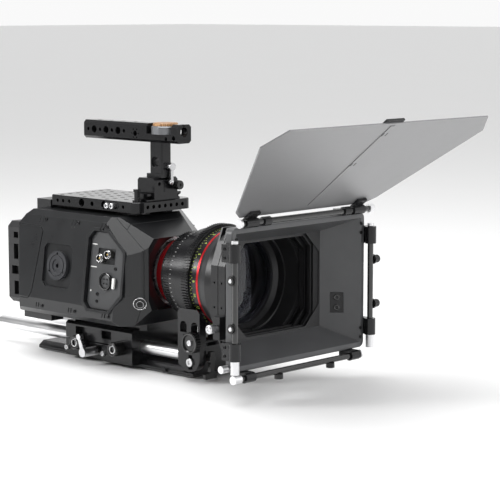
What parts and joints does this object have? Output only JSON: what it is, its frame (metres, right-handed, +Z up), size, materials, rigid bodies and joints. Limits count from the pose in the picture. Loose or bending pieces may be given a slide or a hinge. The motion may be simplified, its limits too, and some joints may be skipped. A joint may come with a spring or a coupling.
{
  "type": "cinema camera rig",
  "caption": "Cinema camera rig: faceted body with cheese plate, top handle, geared prime lens, matte box with tilting top flag, rods and dovetail base.",
  "frame": {"origin": "main tripod thread in the dovetail plate's bottom face", "axes": "+X forward along the lens axis, +Y to the operator's left, +Z up"},
  "size_m": [0.5827, 0.35, 0.2921],
  "materials": {
    "body_shell": "fine textured satin paint over magnesium",
    "bare_alloy": "machined",
    "sensor": "coated sensor glass in a black carrier",
    "board": "solder mask",
    "steel_satin": "brushed",
    "panel_black": "matte",
    "latch_white": "gloss",
    "rosette_grey": "turned and anodised",
    "chrome_trim": "polished",
    "battery_black": "moulded",
    "anodised_black": "bead blasted and anodised",
    "boss_grey": "turned",
    "wood": "oiled",
    "knob_black": "knurled",
    "lens_black": "satin anodised",
    "red_anodised": "anodised",
    "lens_grey": "satin anodised",
    "coated_glass": "coated",
    "stage_black": "satin anodised",
    "tray_black": "satin",
    "hood_black": "fine matte grain",
    "rod_black": "gloss",
    "cap_silver": "satin",
    "flag_grey": "satin",
    "rod_steel": "polished stainless"
  },
  "bodies": {
    "dovetail": {"dovetail_plate": "anodised_black"},
    "rig": {"accessory_rail": "anodised_black", "baseplate": "anodised_black", "battery_plate": "battery_black", "body_casting": "body_shell", "cheese_plate": "anodised_black", "circuit_boards": "board", "connector_panel": "panel_black", "flag_rods": "rod_black", "flag_thumb_screws": "knob_black", "front_cover": "body_shell", "front_element": "coated_glass", "front_filter_stage": "stage_black", "hood": "hood_black", "inner_frame": "bare_alloy", "lens_adapter": "stage_black", "lens_barrel": "lens_black", "lens_collar": "steel_satin", "lens_front_barrel": "lens_grey", "lens_mount": "steel_satin", "lens_red_rings": "red_anodised", "power_socket": "panel_black", "rear_filter_stage": "stage_black", "record_bezel": "chrome_trim", "rod_caps": "cap_silver", "rod_clamps": "anodised_black", "rods_15mm": "rod_steel", "rosette_disc": "rosette_grey", "sensor_module": "sensor", "side_cover_left": "body_shell", "side_cover_right": "body_shell", "small_screws": "steel_satin", "support_block": "anodised_black", "support_bracket": "anodised_black", "tape_hook": "anodised_black", "video_sockets": "steel_satin"},
    "handle": {"handle_clamp_base": "anodised_black", "handle_post": "anodised_black", "handle_bar": "anodised_black", "handle_boss": "boss_grey", "wood_disc": "wood"},
    "handle_lever": {"handle_lever": "steel_satin"},
    "handle_knob": {"handle_clamp_knob": "knob_black"},
    "iris": {"iris_ring": "lens_black"},
    "focus": {"focus_ring": "lens_black"},
    "flag": {"top_flag": "flag_grey", "flag_fittings": "anodised_black"},
    "rear_tray": {"rear_filter_tray": "tray_black"},
    "front_tray": {"front_filter_tray": "tray_black"},
    "stage_lock": {"stage_lock_knob": "steel_satin"},
    "rear_rod_knob": {"rod_knob_rear": "knob_black"},
    "front_rod_knob": {"rod_knob_front": "knob_black"},
    "base_lever": {"dovetail_lever": "steel_satin"},
    "support_post": {"support_slide": "anodised_black"},
    "support_wheel": {"support_wheel": "knob_black"},
    "support_lever": {"support_lever": "knob_black"},
    "record": {"record_button": "panel_black"},
    "latch": {"power_latch": "latch_white"},
    "screen": {"screen_door": "body_shell"},
    "battery_catch": {"battery_release": "battery_black"}
  },
  "joints": [
    {"name": "dovetail_slide", "type": "slide", "parent": "dovetail", "child": "rig", "axis": [1, 0, 0], "range_m": [-0.022, 0.016]},
    {"name": "handle_slide", "type": "slide", "parent": "rig", "child": "handle", "axis": [0, 1, 0], "range_m": [-0.006, 0.006]},
    {"name": "handle_lever_turn", "type": "hinge", "parent": "handle", "child": "handle_lever", "pos_m": [0.0735, 0.0035, 0.225], "axis": [1, 0, 0], "range_deg": [-100, 0]},
    {"name": "handle_knob_turn", "type": "hinge", "parent": "handle", "child": "handle_knob", "pos_m": [0.074, 0.0125, 0.204], "axis": [1, 0, 0], "continuous": true},
    {"name": "iris_turn", "type": "hinge", "parent": "rig", "child": "iris", "pos_m": [0.1145, 0, 0.109], "axis": [1, 0, 0], "range_deg": [0, 60]},
    {"name": "focus_turn", "type": "hinge", "parent": "rig", "child": "focus", "pos_m": [0.155, 0, 0.109], "axis": [1, 0, 0], "range_deg": [-150, 150]},
    {"name": "top_flag_tilt", "type": "hinge", "parent": "rig", "child": "flag", "pos_m": [0.2768, 0, 0.1855], "axis": [0, 1, 0], "range_deg": [-30, 115]},
    {"name": "rear_tray_lift", "type": "slide", "parent": "rig", "child": "rear_tray", "axis": [0, 0, 1], "range_m": [0, 0.11]},
    {"name": "front_tray_lift", "type": "slide", "parent": "rig", "child": "front_tray", "axis": [0, 0, 1], "range_m": [0, 0.11]},
    {"name": "stage_lock_turn", "type": "hinge", "parent": "rig", "child": "stage_lock", "pos_m": [0.2302, -0.09, 0.072], "axis": [0, 1, 0], "continuous": true},
    {"name": "rear_rod_knob_turn", "type": "hinge", "parent": "rig", "child": "rear_rod_knob", "pos_m": [-0.0185, -0.057, 0.0225], "axis": [0, 1, 0], "continuous": true},
    {"name": "front_rod_knob_turn", "type": "hinge", "parent": "rig", "child": "front_rod_knob", "pos_m": [0.0455, -0.057, 0.0225], "axis": [0, 1, 0], "continuous": true},
    {"name": "dovetail_lever_turn", "type": "hinge", "parent": "rig", "child": "base_lever", "pos_m": [0.005, -0.06, 0.015], "axis": [0, 1, 0], "range_deg": [-20, 90]},
    {"name": "support_lift", "type": "slide", "parent": "rig", "child": "support_post", "axis": [0, 0, 1], "range_m": [-0.0119, 0]},
    {"name": "support_wheel_turn", "type": "hinge", "parent": "rig", "child": "support_wheel", "pos_m": [0.164, -0.054, 0.0445], "axis": [0, 1, 0], "range_deg": [-160, 10]},
    {"name": "support_lever_turn", "type": "hinge", "parent": "rig", "child": "support_lever", "pos_m": [0.175, -0.038, 0.026], "axis": [1, 0, 0], "range_deg": [-60, 60]},
    {"name": "record_press", "type": "slide", "parent": "rig", "child": "record", "axis": [-0.6558, 0.6928, 0.2999], "range_m": [0, 0.001], "stiffness_N_per_m": 300},
    {"name": "latch_press", "type": "slide", "parent": "rig", "child": "latch", "axis": [0, 0.9919, -0.1271], "range_m": [0, 0.001], "stiffness_N_per_m": 300},
    {"name": "screen_open", "type": "hinge", "parent": "rig", "child": "screen", "pos_m": [0.034, 0.0715, 0.11], "axis": [0, 0, -1], "range_deg": [0, 90]},
    {"name": "battery_release_press", "type": "slide", "parent": "rig", "child": "battery_catch", "axis": [0, 0, 1], "range_m": [0, 0.003], "stiffness_N_per_m": 400}
  ],
  "couplings": [
    {"joint": "support_wheel_turn", "follows": "support_lift", "rad_per_m": 200}
  ]
}
